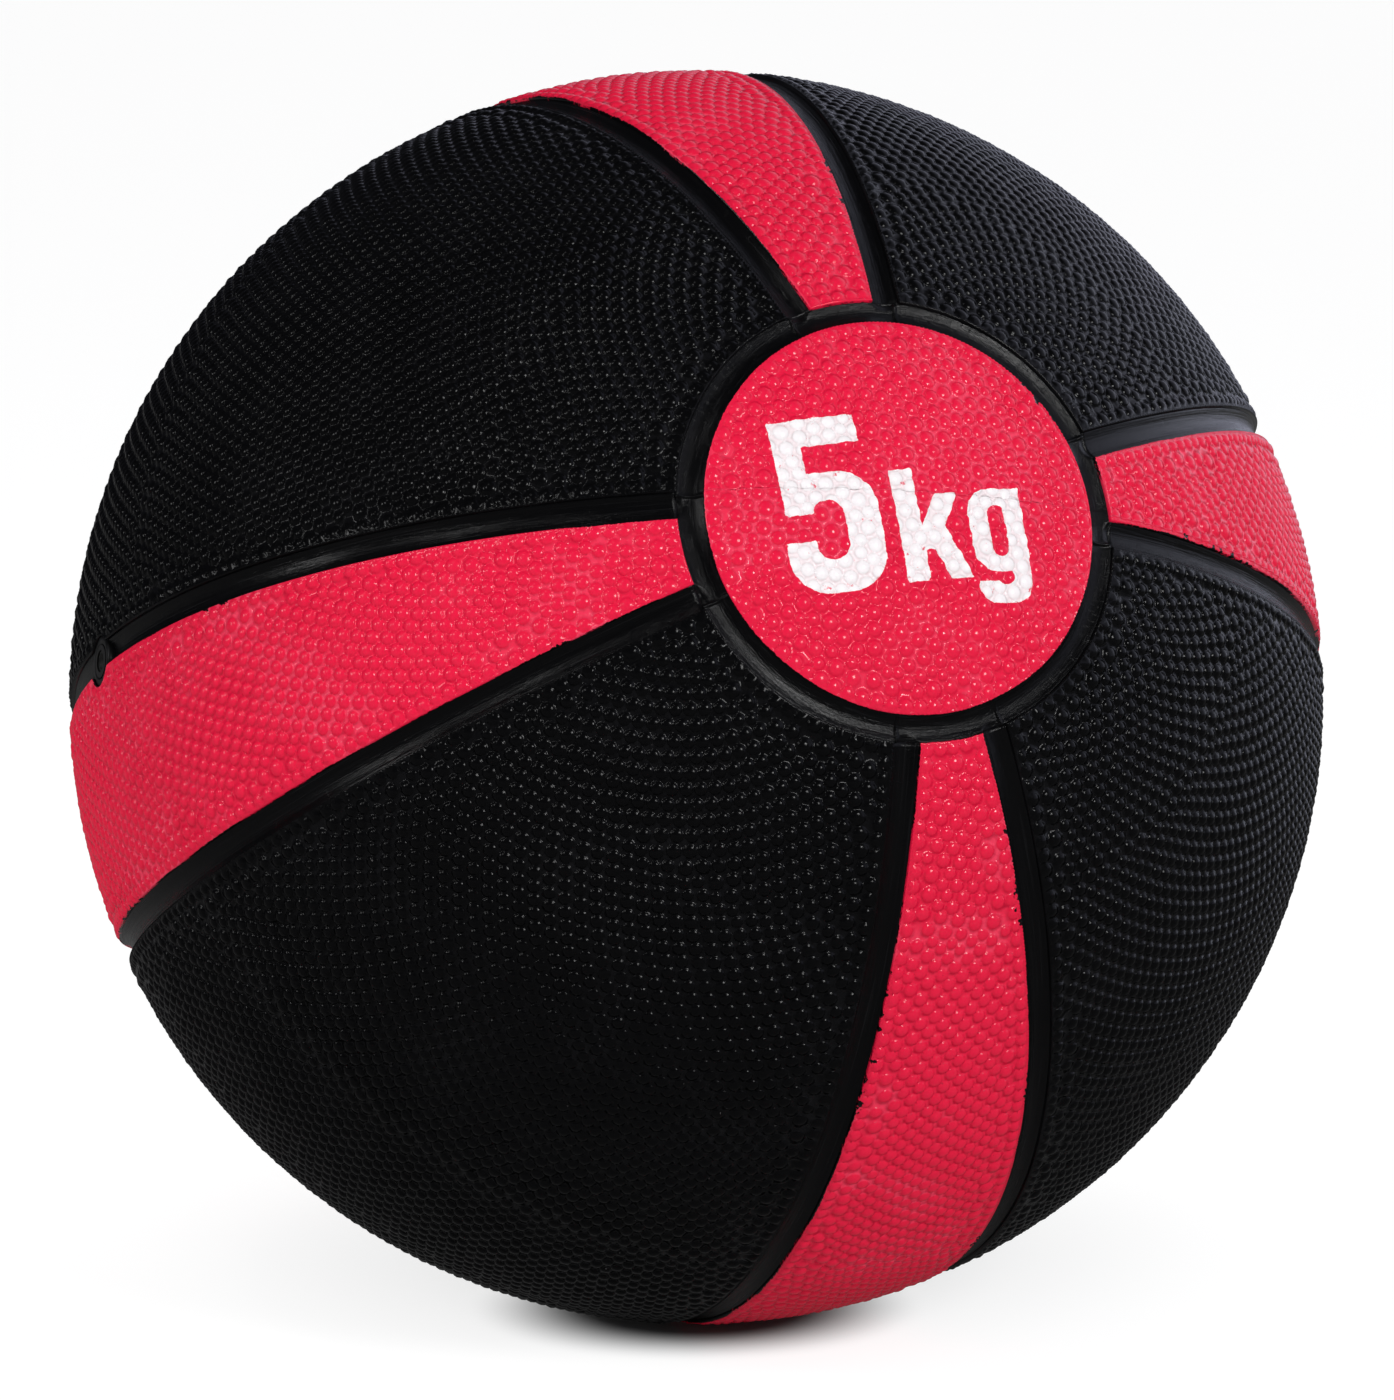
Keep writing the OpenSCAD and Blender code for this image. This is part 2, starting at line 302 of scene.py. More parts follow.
def site_tree(sites):
    """A search tree that finds the site nearest to a point."""
    tree = kdtree.KDTree(len(sites))
    for number, site in enumerate(sites):
        tree.insert(site, number)
    tree.balance()
    return tree


def nearest(points, sites):
    """Number of the nearest site to each point, and the distance to it."""
    tree = site_tree(sites)
    found = [tree.find(p) for p in points]
    return np.array([f[1] for f in found]), BALL_R*np.array([f[2] for f in found])


def pebble_radii(sites):
    """Foot radius of each pebble: as large as its neighbours allow."""
    tree = site_tree(sites)
    spacing = BALL_R*np.array([tree.find_n(site, 2)[1][2] for site in sites])
    return np.clip(0.5*spacing, PEBBLE_LEAST_R, PEBBLE_R)


def ring_points(sites, radii, rings):
    """Points on circles round each site. rings holds each circle's share of the foot radius and
    its number of points."""
    east, north = compass(sites, ASIDE)
    starts = np.random.default_rng(3).uniform(0, 2*math.pi, len(sites))
    points = []
    for share, count in rings:
        angle = (share*radii/BALL_R)[:, None]
        for step in range(count):
            bearing = (starts + 2*math.pi*(step + share)/count)[:, None]
            sideways = np.cos(bearing)*east + np.sin(bearing)*north
            points.append(np.cos(angle)*sites + np.sin(angle)*sideways)
    return np.vstack(points)


def pebble_height(points, sites, radii, inset):
    """Height of the pebbles over the valleys, each point's distance outside a pebble's foot, and
    the surface's normal there. A pebble is a dome that is steepest at its foot."""
    number, distance = nearest(points, sites)
    lift = 1 + 0.08*np.random.default_rng(5).normal(0, 1, len(sites))
    foot = radii[number]
    height = PEBBLE_H*lift[number]*foot/PEBBLE_R
    height *= smooth(PEBBLE_START, PEBBLE_FULL, inset)
    share = distance/foot
    inward = np.maximum(1 - share**2, 0)
    dome = height*(0.5*inward + 0.5*np.sqrt(inward))
    steep = share*(1 + 0.5/np.sqrt(np.maximum(inward, 0.06)))*(share < 1)
    away = points - sites[number]
    away -= points*np.einsum("ij,ij->i", away, points)[:, None]
    away /= np.maximum(np.linalg.norm(away, axis=1), 1e-9)[:, None]
    normals = points + away*(steep*height/foot)[:, None]
    normals /= np.linalg.norm(normals, axis=1)[:, None]
    return dome, distance - foot, normals


def lip_height(inset):
    """Height of the smooth raised lip along a panel's edge, over the valleys."""
    short = np.clip(LIP_R - inset, 0, LIP_R)
    rolled = LIP_R - np.sqrt(LIP_R**2 - short**2)
    return LIP_H*(1 - smooth(*LIP_FADE, inset)) - rolled


def swell(directions):
    """Slow unevenness of moulded rubber, a few hundredths of a millimetre."""
    waves = np.random.default_rng(11).normal(0, 1, (10, 3))
    phases = np.linspace(0, 6, 10)
    return sum(np.sin(14*directions @ w + p) for w, p in zip(waves, phases))*0.012*MM


# ---------------------------------------------------------------- meshes


def mesh_object(name, points, faces, material):
    """A smooth mesh object from an array of points and a list of faces."""
    mesh = bpy.data.meshes.new(name)
    mesh.from_pydata(points.tolist(), [], faces)
    mesh.polygons.foreach_set("use_smooth", np.full(len(mesh.polygons), True))
    mesh.update()
    mesh.materials.append(material)
    item = bpy.data.objects.new(name, mesh)
    bpy.context.scene.collection.objects.link(item)
    return item


def add_attribute(item, name, values):
    """One number per point for the material to read."""
    attribute = item.data.attributes.new(name, "FLOAT", "POINT")
    attribute.data.foreach_set("value", np.asarray(values, dtype=np.float32))


def set_normals(item, normals):
    """Shading normals of the first points. The rest, and any that are zero, keep the mesh's own."""
    everything = np.zeros((len(item.data.vertices), 3))
    everything[:len(normals)] = normals
    item.data.normals_split_custom_set_from_vertices(everything.tolist())


def closed_shell(shape, points, radii, triangles, loop, sites):
    """The outer surface of a panel, joined by walls to a plain inner surface."""
    outer = in_world(points, radii)
    rim = points[loop]
    inner_sites = sites[shape.inset(sites) > EDGE_ROW/2]
    inner_points = np.vstack([rim, inner_sites])
    inner_triangles = triangulated(inner_points, shape.middle, len(rim), shape.inset)
    inner = in_world(inner_points, np.full(len(inner_points), INNER_R))
    base = len(outer)
    faces = triangles.tolist() + (inner_triangles[:, ::-1] + base).tolist()
    following = np.roll(np.arange(len(loop)), -1)
    walls = np.c_[loop, base + np.arange(len(loop)), base + following, loop[following]]
    facing = np.cross(inner[0] - outer[loop[0]], outer[loop[1]] - outer[loop[0]])
    outward = outer[loop[0]] - (CENTRE + BALL_R*shape.middle @ BALL_AXES)
    if facing @ outward < 0:
        walls = walls[:, ::-1]
    return np.vstack([outer, inner]), faces + walls.tolist()


def make_panel(name, shape, material, rings):
    """A pebbled panel with rolled shoulders, in place of the CAD node of that name."""
    sites = pebble_sites(shape)
    radii = pebble_radii(sites)
    loop_count = len(shape.outline(0, EDGE_STEP))
    shoulder = [shape.outline(offset, EDGE_STEP) for offset in LIP_LOOPS]
    valleys = sites[triangulated(sites, shape.middle, 0, shape.inset)].mean(axis=1)
    valleys /= np.linalg.norm(valleys, axis=1)[:, None]
    inner = np.vstack([sites, ring_points(sites, radii, rings), valleys])
    inner = inner[shape.inset(inner) > BARE_EDGE]
    points = np.vstack(shoulder + [inner])
    triangles = triangulated(points, shape.middle, loop_count, shape.inset)
    inset = np.maximum(shape.inset(points), 0)
    inset[:loop_count] = 0
    dome, foot, normals = pebble_height(points, sites, radii, inset)
    heights = BALL_R - PEBBLE_H + dome + lip_height(inset) + np.minimum(swell(points), 0)
    everything, faces = closed_shell(shape, points, heights, triangles, np.arange(loop_count), sites)
    item = mesh_object(name + "_pebbled", everything, faces, material)
    spare = np.zeros(len(everything) - len(points))
    add_attribute(item, "edge", np.r_[inset/MM, spare])
    add_attribute(item, "foot", np.r_[foot/MM, spare + 0.4])
    set_normals(item, np.where(inset[:, None] > PEBBLE_FULL, normals @ BALL_AXES, 0.0))
    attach(item, "root")
    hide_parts(name)
    return item, points


# ---------------------------------------------------------------- channels

CHANNEL_WIDTH_POINTS = 17
STRIP_SECTIONS = 260
RING_SECTIONS = 1200
MERIDIANS = []
for quarter_index in range(4):
    for side in (-1, 1):
        turn = COVER_TURN + QUARTER*quarter_index + side*STRIP_SPAN/2
        towards_black = side*np.array([-math.sin(turn), math.cos(turn), 0])
        MERIDIANS.append((turn, towards_black))

CHANNEL_MIDDLE = (BLACK_INSET - RED_INSET)/2
CHANNEL_HALF = (BLACK_INSET + RED_INSET)/2
RING_MIDDLE = BALL_R*(DISC_ANGLE + PANEL_ANGLE)/2
RING_HALF = BALL_R*(PANEL_ANGLE - DISC_ANGLE)/2


def hollow(across, half):
    """Depth of a channel's hollow below its lip, from its middle outwards."""
    return CHANNEL_DIP*np.clip(1 - (across/half)**2, 0, 1)


def channel_depth(directions):
    """Depth of the channels' floor below the ball's surface, where they join as well."""
    polar = BALL_R*np.arccos(np.clip(np.abs(directions[:, 2]), -1, 1))
    deepest = hollow(polar - RING_MIDDLE, RING_HALF)
    for turn, towards_black in MERIDIANS:
        across = BALL_R*np.arcsin(np.clip(directions @ towards_black, -1, 1)) - CHANNEL_MIDDLE
        ahead = directions @ direction(QUARTER, turn) > 0
        reach = smooth(RING_MIDDLE - RING_HALF/2, RING_MIDDLE + RING_HALF, polar)
        deepest = np.maximum(deepest, hollow(across, CHANNEL_HALF)*ahead*reach)
    return LIP_DEPTH + deepest


def seam_ridges(directions):
    """Thin lines of flash where the mould's channel ribs met across a ring."""
    ridge = np.zeros(len(directions))
    for turn, towards_black in MERIDIANS:
        across = BALL_R*(directions @ towards_black) - 0.8*BLACK_INSET
        ahead = directions @ direction(QUARTER, turn) > 0
        ridge += ahead*np.exp(-(across/FLASH_R)**2)
    return ridge


def swept_channel(name, rows, closed, material):
    """A channel strip: rows is an array of sections, each a line of directions across it."""
    length, width = rows.shape[:2]
    flat = rows.reshape(-1, 3)
    depth = channel_depth(flat) - swell(flat)*2
    if closed:
        depth -= FLASH_H*seam_ridges(flat)
    top = in_world(flat, BALL_R - depth)
    foot = in_world(flat, np.full(len(flat), INNER_R))
    count = length*width
    faces = []
    for i in range(length if closed else length - 1):
        here, ahead = i*width, ((i + 1) % length)*width
        for j in range(width - 1):
            faces.append((here + j, ahead + j, ahead + j + 1, here + j + 1))
            faces.append((count + here + j, count + here + j + 1, count + ahead + j + 1, count + ahead + j))
        faces.append((here, count + here, count + ahead, ahead))
        last = width - 1
        faces.append((here + last, ahead + last, count + ahead + last, count + here + last))
    if not closed:
        for start, flip in ((0, 1), ((length - 1)*width, -1)):
            for j in range(width - 1):
                cap = (start + j, start + j + 1, count + start + j + 1, count + start + j)
                faces.append(cap[::flip])
    item = mesh_object(name + "_rubber", np.vstack([top, foot]), faces, material)
    run = np.repeat(np.arange(length)*1.0, width)
    across = np.tile(np.linspace(-1, 1, width), length)
    add_attribute(item, "run", np.r_[run, run])
    add_attribute(item, "across", np.r_[across, across])
    return item


def meridian_rows(turn, towards_black):
    """Sections of the channel beside a red strip, from one ring channel to the other."""
    across = np.linspace(-RED_INSET - SIDE_TUCK, BLACK_INSET + SIDE_TUCK, CHANNEL_WIDTH_POINTS)/BALL_R
    out = direction(QUARTER, turn)
    top = math.pi/2 - PANEL_ANGLE + END_TUCK/BALL_R
    rise = np.linspace(-top, top, STRIP_SECTIONS)
    rows = []
    for angle in rise:
        along = math.cos(angle)*out + math.sin(angle)*np.array([0, 0, 1])
        rows.append(np.outer(np.cos(across), along) + np.outer(np.sin(across), towards_black))
    return np.array(rows)


def ring_rows(side):
    """Sections of the ring channel round a disc."""
    tuck = SIDE_TUCK/BALL_R
    angles = np.linspace(DISC_ANGLE - tuck, PANEL_ANGLE + tuck, CHANNEL_WIDTH_POINTS)
    turns = np.linspace(0, 2*math.pi, RING_SECTIONS, endpoint=False)
    rows = np.array([[direction(a, t) for a in angles] for t in turns])
    rows[:, :, 2] *= side
    return rows


def make_channel(name, rows, closed, material):
    """A channel strip or ring, in place of the CAD node of that name."""
    item = swept_channel(name, rows, closed, material)
    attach(item, "root")
    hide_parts(name)


def valve_pad(material):
    """Round pad of the channel, with the hole for the valve."""
    east, north = compass(VALVE, BACKWARD)
    profile = [(PAD_HOLE_R, COVER_T), (PAD_HOLE_R, PAD_DEPTH + PAD_ROLL),
               (PAD_HOLE_R + 0.3*PAD_ROLL, PAD_DEPTH + 0.2*PAD_ROLL), (PAD_HOLE_R + PAD_ROLL, PAD_DEPTH),
               (PAD_R - PAD_ROLL, PAD_DEPTH), (PAD_R - 0.3*PAD_ROLL, PAD_DEPTH + 0.3*PAD_ROLL),
               (PAD_R, PAD_DEPTH + PAD_ROLL), (PAD_R, COVER_T)]
    directions, radii = [], []
    for step in range(PAD_STEPS):
        bearing = 2*math.pi*step/PAD_STEPS
        sideways = math.cos(bearing)*east + math.sin(bearing)*north
        for radius, depth in profile:
            angle = radius/BALL_R
            directions.append(math.cos(angle)*VALVE + math.sin(angle)*sideways)
            radii.append(BALL_R - depth)
    faces = []
    width = len(profile)
    for step in range(PAD_STEPS):
        here, ahead = step*width, ((step + 1) % PAD_STEPS)*width
        for j in range(width):
            k = (j + 1) % width
            faces.append((here + j, ahead + j, ahead + k, here + k))
    item = mesh_object("valve_pad", in_world(np.array(directions), np.array(radii)), faces, material)
    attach(item, "root")


# ---------------------------------------------------------------- materials


class Nodes:
    """Short names for building the nodes of a material or a world."""

    def __init__(self, owner):
        owner.use_nodes = True
        self.tree = owner.node_tree

    def link(self, source, target):
        self.tree.links.new(source, target)

    def put(self, socket, value):
        if isinstance(value, (int, float)):
            socket.default_value = value
        elif isinstance(value, tuple):
            socket.default_value = (*value, 1.0) if len(socket.default_value) == 4 else value
        else:
            self.link(value, socket)

    def math(self, operation, *values):
        node = self.tree.nodes.new("ShaderNodeMath")
        node.operation = operation
        for socket, value in zip(node.inputs, values):
            self.put(socket, value)
        return node.outputs[0]

    def vector_math(self, operation, source, *value):
        """The number that comes of a vector, or of a vector and a constant one."""
        node = self.tree.nodes.new("ShaderNodeVectorMath")
        node.operation = operation
        self.link(source, node.inputs[0])
        if value:
            node.inputs[1].default_value = value[0]
        return node.outputs["Value"]

    def rays(self, *names):
        """1 for the rays of these kinds, and 0 for the others."""
        path = self.tree.nodes.new("ShaderNodeLightPath")
        kind = path.outputs[names[0]]
        for name in names[1:]:
            kind = self.math("MAXIMUM", kind, path.outputs[name])
        return kind

    def ramp(self, value, low, high, to_low=0.0, to_high=1.0):
        node = self.tree.nodes.new("ShaderNodeMapRange")
        node.interpolation_type = "SMOOTHSTEP"
        self.put(node.inputs["Value"], value)
        node.inputs["From Min"].default_value = low
        node.inputs["From Max"].default_value = high
        node.inputs["To Min"].default_value = to_low
        node.inputs["To Max"].default_value = to_high
        return node.outputs["Result"]

    def mix(self, factor, first, second):
        node = self.tree.nodes.new("ShaderNodeMix")
        node.data_type = "RGBA"
        self.put(node.inputs[0], factor)
        self.put(node.inputs[6], first)
        self.put(node.inputs[7], second)
        return node.outputs[2]


class Rubber(Nodes):
    """A material, its shader, and the textures that the ball's materials use."""

    def __init__(self, name, specular=0.15):
        self.material = bpy.data.materials.new(name)
        super().__init__(self.material)
        self.shader = self.tree.nodes["Principled BSDF"]
        self.shader.inputs["Specular IOR Level"].default_value = specular
        self.place = self.tree.nodes.new("ShaderNodeTexCoord").outputs["Object"]

    def attribute(self, name):
        node = self.tree.nodes.new("ShaderNodeAttribute")
        node.attribute_name = name
        return node.outputs["Fac"]

    def noise(self, scale, detail=2.0, roughness=0.5, place=None):
        node = self.tree.nodes.new("ShaderNodeTexNoise")
        self.link(place or self.place, node.inputs["Vector"])
        node.inputs["Scale"].default_value = scale
        node.inputs["Detail"].default_value = detail
        node.inputs["Roughness"].default_value = roughness
        return node.outputs["Fac"]

    def bump(self, height, strength, distance, normal=None):
        node = self.tree.nodes.new("ShaderNodeBump")
        self.put(node.inputs["Strength"], strength)
        node.inputs["Distance"].default_value = distance
        self.link(height, node.inputs["Height"])
        if normal is not None:
            self.link(normal, node.inputs["Normal"])
        return node.outputs["Normal"]

    def stretched(self, scale):
        """Noise place from the run and across attributes of a channel."""
        node = self.tree.nodes.new("ShaderNodeCombineXYZ")
        self.link(self.math("MULTIPLY", self.attribute("run"), scale[0]), node.inputs[0])
        self.link(self.math("MULTIPLY", self.attribute("across"), scale[1]), node.inputs[1])
        return node.outputs[0]

    def parting_line(self):
        """1 on the thin line that the mould's parting left across the ball, beside the valve."""
        along = self.vector_math("DOT_PRODUCT", self.place, PARTING_NORMAL.tolist())
        away = self.math("ABSOLUTE", self.math("SUBTRACT", along, PARTING_AT))
        return self.ramp(away, 0.0, 0.22*MM, 1.0, 0.0)

    def run_over(self):
        """Black that has run from the channel over a red panel's edge, in ragged spikes."""
        wave = self.math("MULTIPLY", self.math("SUBTRACT", self.noise(55, 2), 0.5), 1.1)
        tooth = self.math("MULTIPLY", self.math("SUBTRACT", self.noise(1100, 3, 0.7), 0.5), 0.5)
        ragged = self.ramp(self.noise(30, 2), 0.55, 0.62)
        spikes = self.math("MULTIPLY", self.ramp(self.noise(620, 2), 0.5, 0.8), ragged)
        edge = self.math("ADD", self.attribute("edge"), self.math("ADD", wave, tooth))
        edge = self.math("MULTIPLY_ADD", spikes, -1.5, edge)
        return self.ramp(edge, 0.04, 0.14, 1.0, 0.0)


RED = (0.77, 0.010, 0.052)
RED_PALE = (0.88, 0.070, 0.14)
RED_DEEP = (0.60, 0.006, 0.034)
BLACK = (0.0020, 0.0020, 0.0023)
BLACK_GREY = (0.007, 0.007, 0.008)
WHITE_INK = (0.88, 0.84, 0.86)


def red_material(name, marked):
    """Red rubber: thin pale rims at the pebbles' feet, partly a pale bloom and partly painted highlight,
    black that has run over the edges, small specks, a parting line.
    """
    n = Rubber(name, specular=0.28)
    foot = n.attribute("foot")
    patches = n.ramp(n.noise(38, 3), 0.48, 0.62)
    clouds = n.ramp(n.noise(14, 3), 0.3, 0.7)
    colour = n.mix(n.math("MULTIPLY", clouds, 0.3), RED, RED_DEEP)
    # Pale rims at the pebbles' feet, in patches: partly a pale bloom in the valleys, partly painted
    # highlight in place of the bright crescents there.
    rim = n.ramp(foot, -0.14, 0.02)
    pale = n.math("MULTIPLY", rim, n.math("MULTIPLY", patches, 0.55))
    colour = n.mix(pale, colour, RED_PALE)
    specks = n.ramp(n.noise(1500, 1), 0.795, 0.82)
    colour = n.mix(n.math("MULTIPLY", specks, 0.55), colour, (0.12, 0.01, 0.02))
    seam = n.parting_line()
    colour = n.mix(n.math("MULTIPLY", seam, 0.35), colour, RED_PALE)
    if marked:
        wander = n.math("MULTIPLY", n.math("SUBTRACT", n.noise(1100, 3, 0.6), 0.5), 0.45)
        ink = n.ramp(n.math("ADD", n.attribute("mark"), wander), -0.06, 0.06, 1.0, 0.0)
        worn = n.ramp(n.noise(520, 4, 0.65), 0.64, 0.70, 1.0, 0.2)
        thin = n.math("MULTIPLY", ink, n.math("MULTIPLY_ADD", rim, -0.10, 1.0))
        colour = n.mix(n.math("MULTIPLY", thin, worn), colour, WHITE_INK)
    colour = n.mix(n.run_over(), colour, BLACK)
    n.link(colour, n.shader.inputs["Base Color"])
    n.link(n.math("MULTIPLY_ADD", n.noise(240, 3), 0.16, 0.12), n.shader.inputs["Roughness"])
    fine = n.bump(n.noise(2600, 3, 0.6), 0.25, 0.00006)
    n.link(n.bump(seam, 0.8, 0.00015, fine), n.shader.inputs["Normal"])
    return n.material


def black_material(name):
    """Black pebbled rubber, a little greyer at the feet of the pebbles."""
    n = Rubber(name, specular=0.10)
    # Greyer in patches at the feet of the pebbles.
    grey_patches = n.ramp(n.noise(60, 4, 0.6), 0.35, 0.75)
    rim = n.ramp(n.attribute("foot"), -0.16, 0.02)
    colour = n.mix(n.math("MULTIPLY", n.math("MULTIPLY", grey_patches, rim), 0.7), BLACK, BLACK_GREY)
    specks = n.ramp(n.noise(1400, 1), 0.80, 0.83)
    colour = n.mix(n.math("MULTIPLY", specks, 0.35), colour, (0.20, 0.19, 0.19))
    n.link(colour, n.shader.inputs["Base Color"])
    n.link(n.math("MULTIPLY_ADD", n.noise(220, 3), 0.14, 0.13), n.shader.inputs["Roughness"])
    n.link(n.bump(n.noise(2600, 3, 0.6), 0.2, 0.00004), n.shader.inputs["Normal"])
    return n.material


def channel_material(name):
    """Smooth black rubber with shiny streaks along the channel and fine scratches across it."""
    n = Rubber(name, specular=0.13)
    streaks = n.noise(1.0, 4, 0.65, n.stretched((0.03, 5.0)))
    scratches = n.ramp(n.noise(1.0, 2, 0.5, n.stretched((1.3, 0.8))), 0.62, 0.72)
    colour = n.mix(n.ramp(streaks, 0.5, 0.8), BLACK, BLACK_GREY)
    n.link(colour, n.shader.inputs["Base Color"])
    n.link(n.math("MULTIPLY_ADD", streaks, 0.36, 0.04), n.shader.inputs["Roughness"])
    lines = n.bump(streaks, 1.0, 0.00016)
    n.link(n.bump(scratches, 0.25, 0.0001, lines), n.shader.inputs["Normal"])
    return n.material


def plain_rubber(name, dark, pale, scale, roughness):
    """Cloudy rubber for the pieces inside and the valve."""
    n = Rubber(name)
    n.link(n.mix(n.ramp(n.noise(scale, 4, 0.6), 0.35, 0.7), dark, pale), n.shader.inputs["Base Color"])
    n.link(n.math("MULTIPLY_ADD", n.noise(scale*3, 3), 0.2, roughness - 0.1), n.shader.inputs["Roughness"])
    n.link(n.bump(n.noise(scale*8, 3), 0.3, 0.0001), n.shader.inputs["Normal"])
    return n.material


def winding_material(name):
    """Bonded nylon thread, wound in crossing directions."""
    n = Rubber(name)
    turned = []
    for angles in ((0.3, 0.2, 0.0), (1.2, 0.5, 0.9), (0.6, 1.4, 2.0)):
        mapping = n.tree.nodes.new("ShaderNodeMapping")
        mapping.inputs["Rotation"].default_value = angles
        n.link(n.place, mapping.inputs["Vector"])
        wave = n.tree.nodes.new("ShaderNodeTexWave")
        wave.inputs["Scale"].default_value = 260
        wave.inputs["Distortion"].default_value = 1.5
        n.link(mapping.outputs[0], wave.inputs["Vector"])
        turned.append(wave.outputs["Fac"])
    threads = n.math("MAXIMUM", n.math("MAXIMUM", turned[0], turned[1]), turned[2])
    n.link(n.mix(threads, (0.42, 0.40, 0.33), (0.72, 0.70, 0.62)), n.shader.inputs["Base Color"])
    n.shader.inputs["Roughness"].default_value = 0.6
    n.link(n.bump(threads, 0.6, 0.0003), n.shader.inputs["Normal"])
    return n.material


# ---------------------------------------------------------------- printed weight mark

MARK_TILT = COVER_TURN - math.radians(3.3)
FAR_OFF = 50.0


def box_distance(x, y, low_x, high_x, low_y, high_y, corner=0.0):
    """Signed distance to a box with round corners, negative inside."""
    off_x = np.abs(x - (low_x + high_x)/2) - (high_x - low_x)/2 + corner
    off_y = np.abs(y - (low_y + high_y)/2) - (high_y - low_y)/2 + corner
    outside = np.hypot(np.maximum(off_x, 0), np.maximum(off_y, 0))
    return outside + np.minimum(np.maximum(off_x, off_y), 0) - corner


def bar_distance(x, y, start, end, width):
    """Signed distance to a slanting bar with level ends."""
    slope = (end[0] - start[0])/(end[1] - start[1])
    across = np.abs(x - start[0] - slope*(y - start[1])) - width/2
    level = np.maximum(min(start[1], end[1]) - y, y - max(start[1], end[1]))
    return np.maximum(across/math.hypot(1, slope), level)


def five(x, y):
    """Signed distance to the figure. Its sizes are millimetres from the disc's middle."""
    ring = np.maximum(box_distance(x, y, -24.1, -6.1, -14.2, 8.2, 7.2),
                      -box_distance(x, y, -18.6, -12.6, -8.1, 2.9, 2.9))
    ring = np.maximum(ring, -box_distance(x, y, -30, -15.4, -4.3, 0.7))
    ring = np.maximum(ring, -box_distance(x, y, -30, -20.5, 0.7, 12))
    stem = box_distance(x, y, -23.3, -18.1, 0.7, 18.8)
    bar = box_distance(x, y, -23.3, -7.2, 13.4, 18.8)
    return np.minimum(np.minimum(ring, stem), bar)


def letter_k(x, y):
    """Signed distance to the k, in the same way."""
    stem = box_distance(x, y, -3.0, 1.4, -13.7, 7.2)
    arm = bar_distance(x, y, (1.2, -8.0), (7.2, 2.1), 4.6)
    leg = bar_distance(x, y, (7.8, -13.7), (3.3, -3.2), 4.4)
    return np.minimum(stem, np.maximum(np.minimum(arm, leg), -0.9 - x))


def letter_g(x, y):
    """Signed distance to the g, in the same way."""
    bowl = np.maximum(box_distance(x, y, 10.8, 22.0, -13.0, 2.4, 4.6),
                      -box_distance(x, y, 14.8, 18.1, -10.2, -0.7, 1.6))
    stem = box_distance(x, y, 18.1, 22.0, -15.0, 2.3)
    hook = np.maximum(box_distance(x, y, 10.8, 22.0, -18.8, -8.0, 4.0),
                      -box_distance(x, y, 14.8, 18.1, -15.4, -8.0, 1.4))
    hook = np.maximum(hook, -box_distance(x, y, 5, 18.1, -14.6, 0))
    return np.minimum(np.minimum(bowl, stem), hook)


def mark_distance(directions):
    """Signed distance in millimetres from the printed 5 kg, on the disc laid flat."""
    polar = np.arccos(np.clip(directions[:, 2], -1, 1))
    turn = np.arctan2(directions[:, 1], directions[:, 0]) - MARK_TILT
    x = BALL_R/MM*polar*np.cos(turn)
    y = BALL_R/MM*polar*np.sin(turn)
    near = np.minimum(np.minimum(five(x, y), letter_k(x, y)), letter_g(x, y))
    return np.where(directions[:, 2] > 0.9, near, FAR_OFF)


# ---------------------------------------------------------------- the ball

red_rubber = red_material("red_rubber", False)
marked_rubber = red_material("red_rubber_marked", True)
black_rubber = black_material("black_rubber")
channel_rubber = channel_material("channel_rubber")

disc, disc_points = make_panel("number_disc", Disc(1), marked_rubber, RED_RINGS)
mark = np.full(len(disc.data.vertices), FAR_OFF)
mark[:len(disc_points)] = mark_distance(disc_points)
add_attribute(disc, "mark", mark)
make_panel("rear_disc", Disc(-1), red_rubber, RED_RINGS)

for index, name in enumerate(("right", "upper", "left", "lower")):
    middle = COVER_TURN + QUARTER*index
    make_panel("red_strip_" + name, Slice(middle, STRIP_SPAN, RED_INSET, name == "left"), red_rubber,
               RED_RINGS)

for index, name in enumerate(("upper_right", "upper_left", "lower_left", "lower_right")):
    middle = COVER_TURN + QUARTER*(index + 0.5)
    shape = Slice(middle, QUARTER - STRIP_SPAN, BLACK_INSET, name == "upper_left")
    make_panel("black_panel_" + name, shape, black_rubber, BLACK_RINGS)

for index, (turn, towards_black) in enumerate(MERIDIANS):
    rows = meridian_rows(turn, towards_black)
    if index % 2 == 0:
        rows = rows[::-1]
    make_channel(f"channel_strip_{index + 1}", rows, False, channel_rubber)
make_channel("ring_channel_front", ring_rows(1)[::-1], True, channel_rubber)
make_channel("ring_channel_rear", ring_rows(-1), True, channel_rubber)

valve_rubber = plain_rubber("valve_rubber", (0.003, 0.003, 0.003), (0.008, 0.008, 0.009), 300, 0.35)
valve_pad(valve_rubber)

INNER_LOOKS = {
    "weight_shell_valve_half": plain_rubber("weighted_rubber", (0.05, 0.05, 0.052),
                                            (0.11, 0.105, 0.10), 160, 0.7),
    "nylon_winding": winding_material("nylon"),
    "air_bladder": plain_rubber("butyl", (0.02, 0.018, 0.017), (0.045, 0.04, 0.037), 90, 0.5),
    "valve_housing": valve_rubber,
    "valve_core": plain_rubber("core_rubber", (0.012, 0.012, 0.012), (0.03, 0.03, 0.03), 400, 0.4),
}
INNER_LOOKS["weight_shell_plain_half"] = INNER_LOOKS["weight_shell_valve_half"]
for name, material in INNER_LOOKS.items():
    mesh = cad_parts[name].data
    mesh.materials.clear()
    mesh.materials.append(material)

# ---------------------------------------------------------------- floor, light and camera

VIEW_AZIMUTH = -20.65
VIEW_ELEVATION = 9.1
VIEW_DISTANCE = 12.55*BALL_R
VIEW_LENS = 202.0
VIEW_SHIFT = (0.0005, -0.0021)
FLOOR_HALF = 9.0
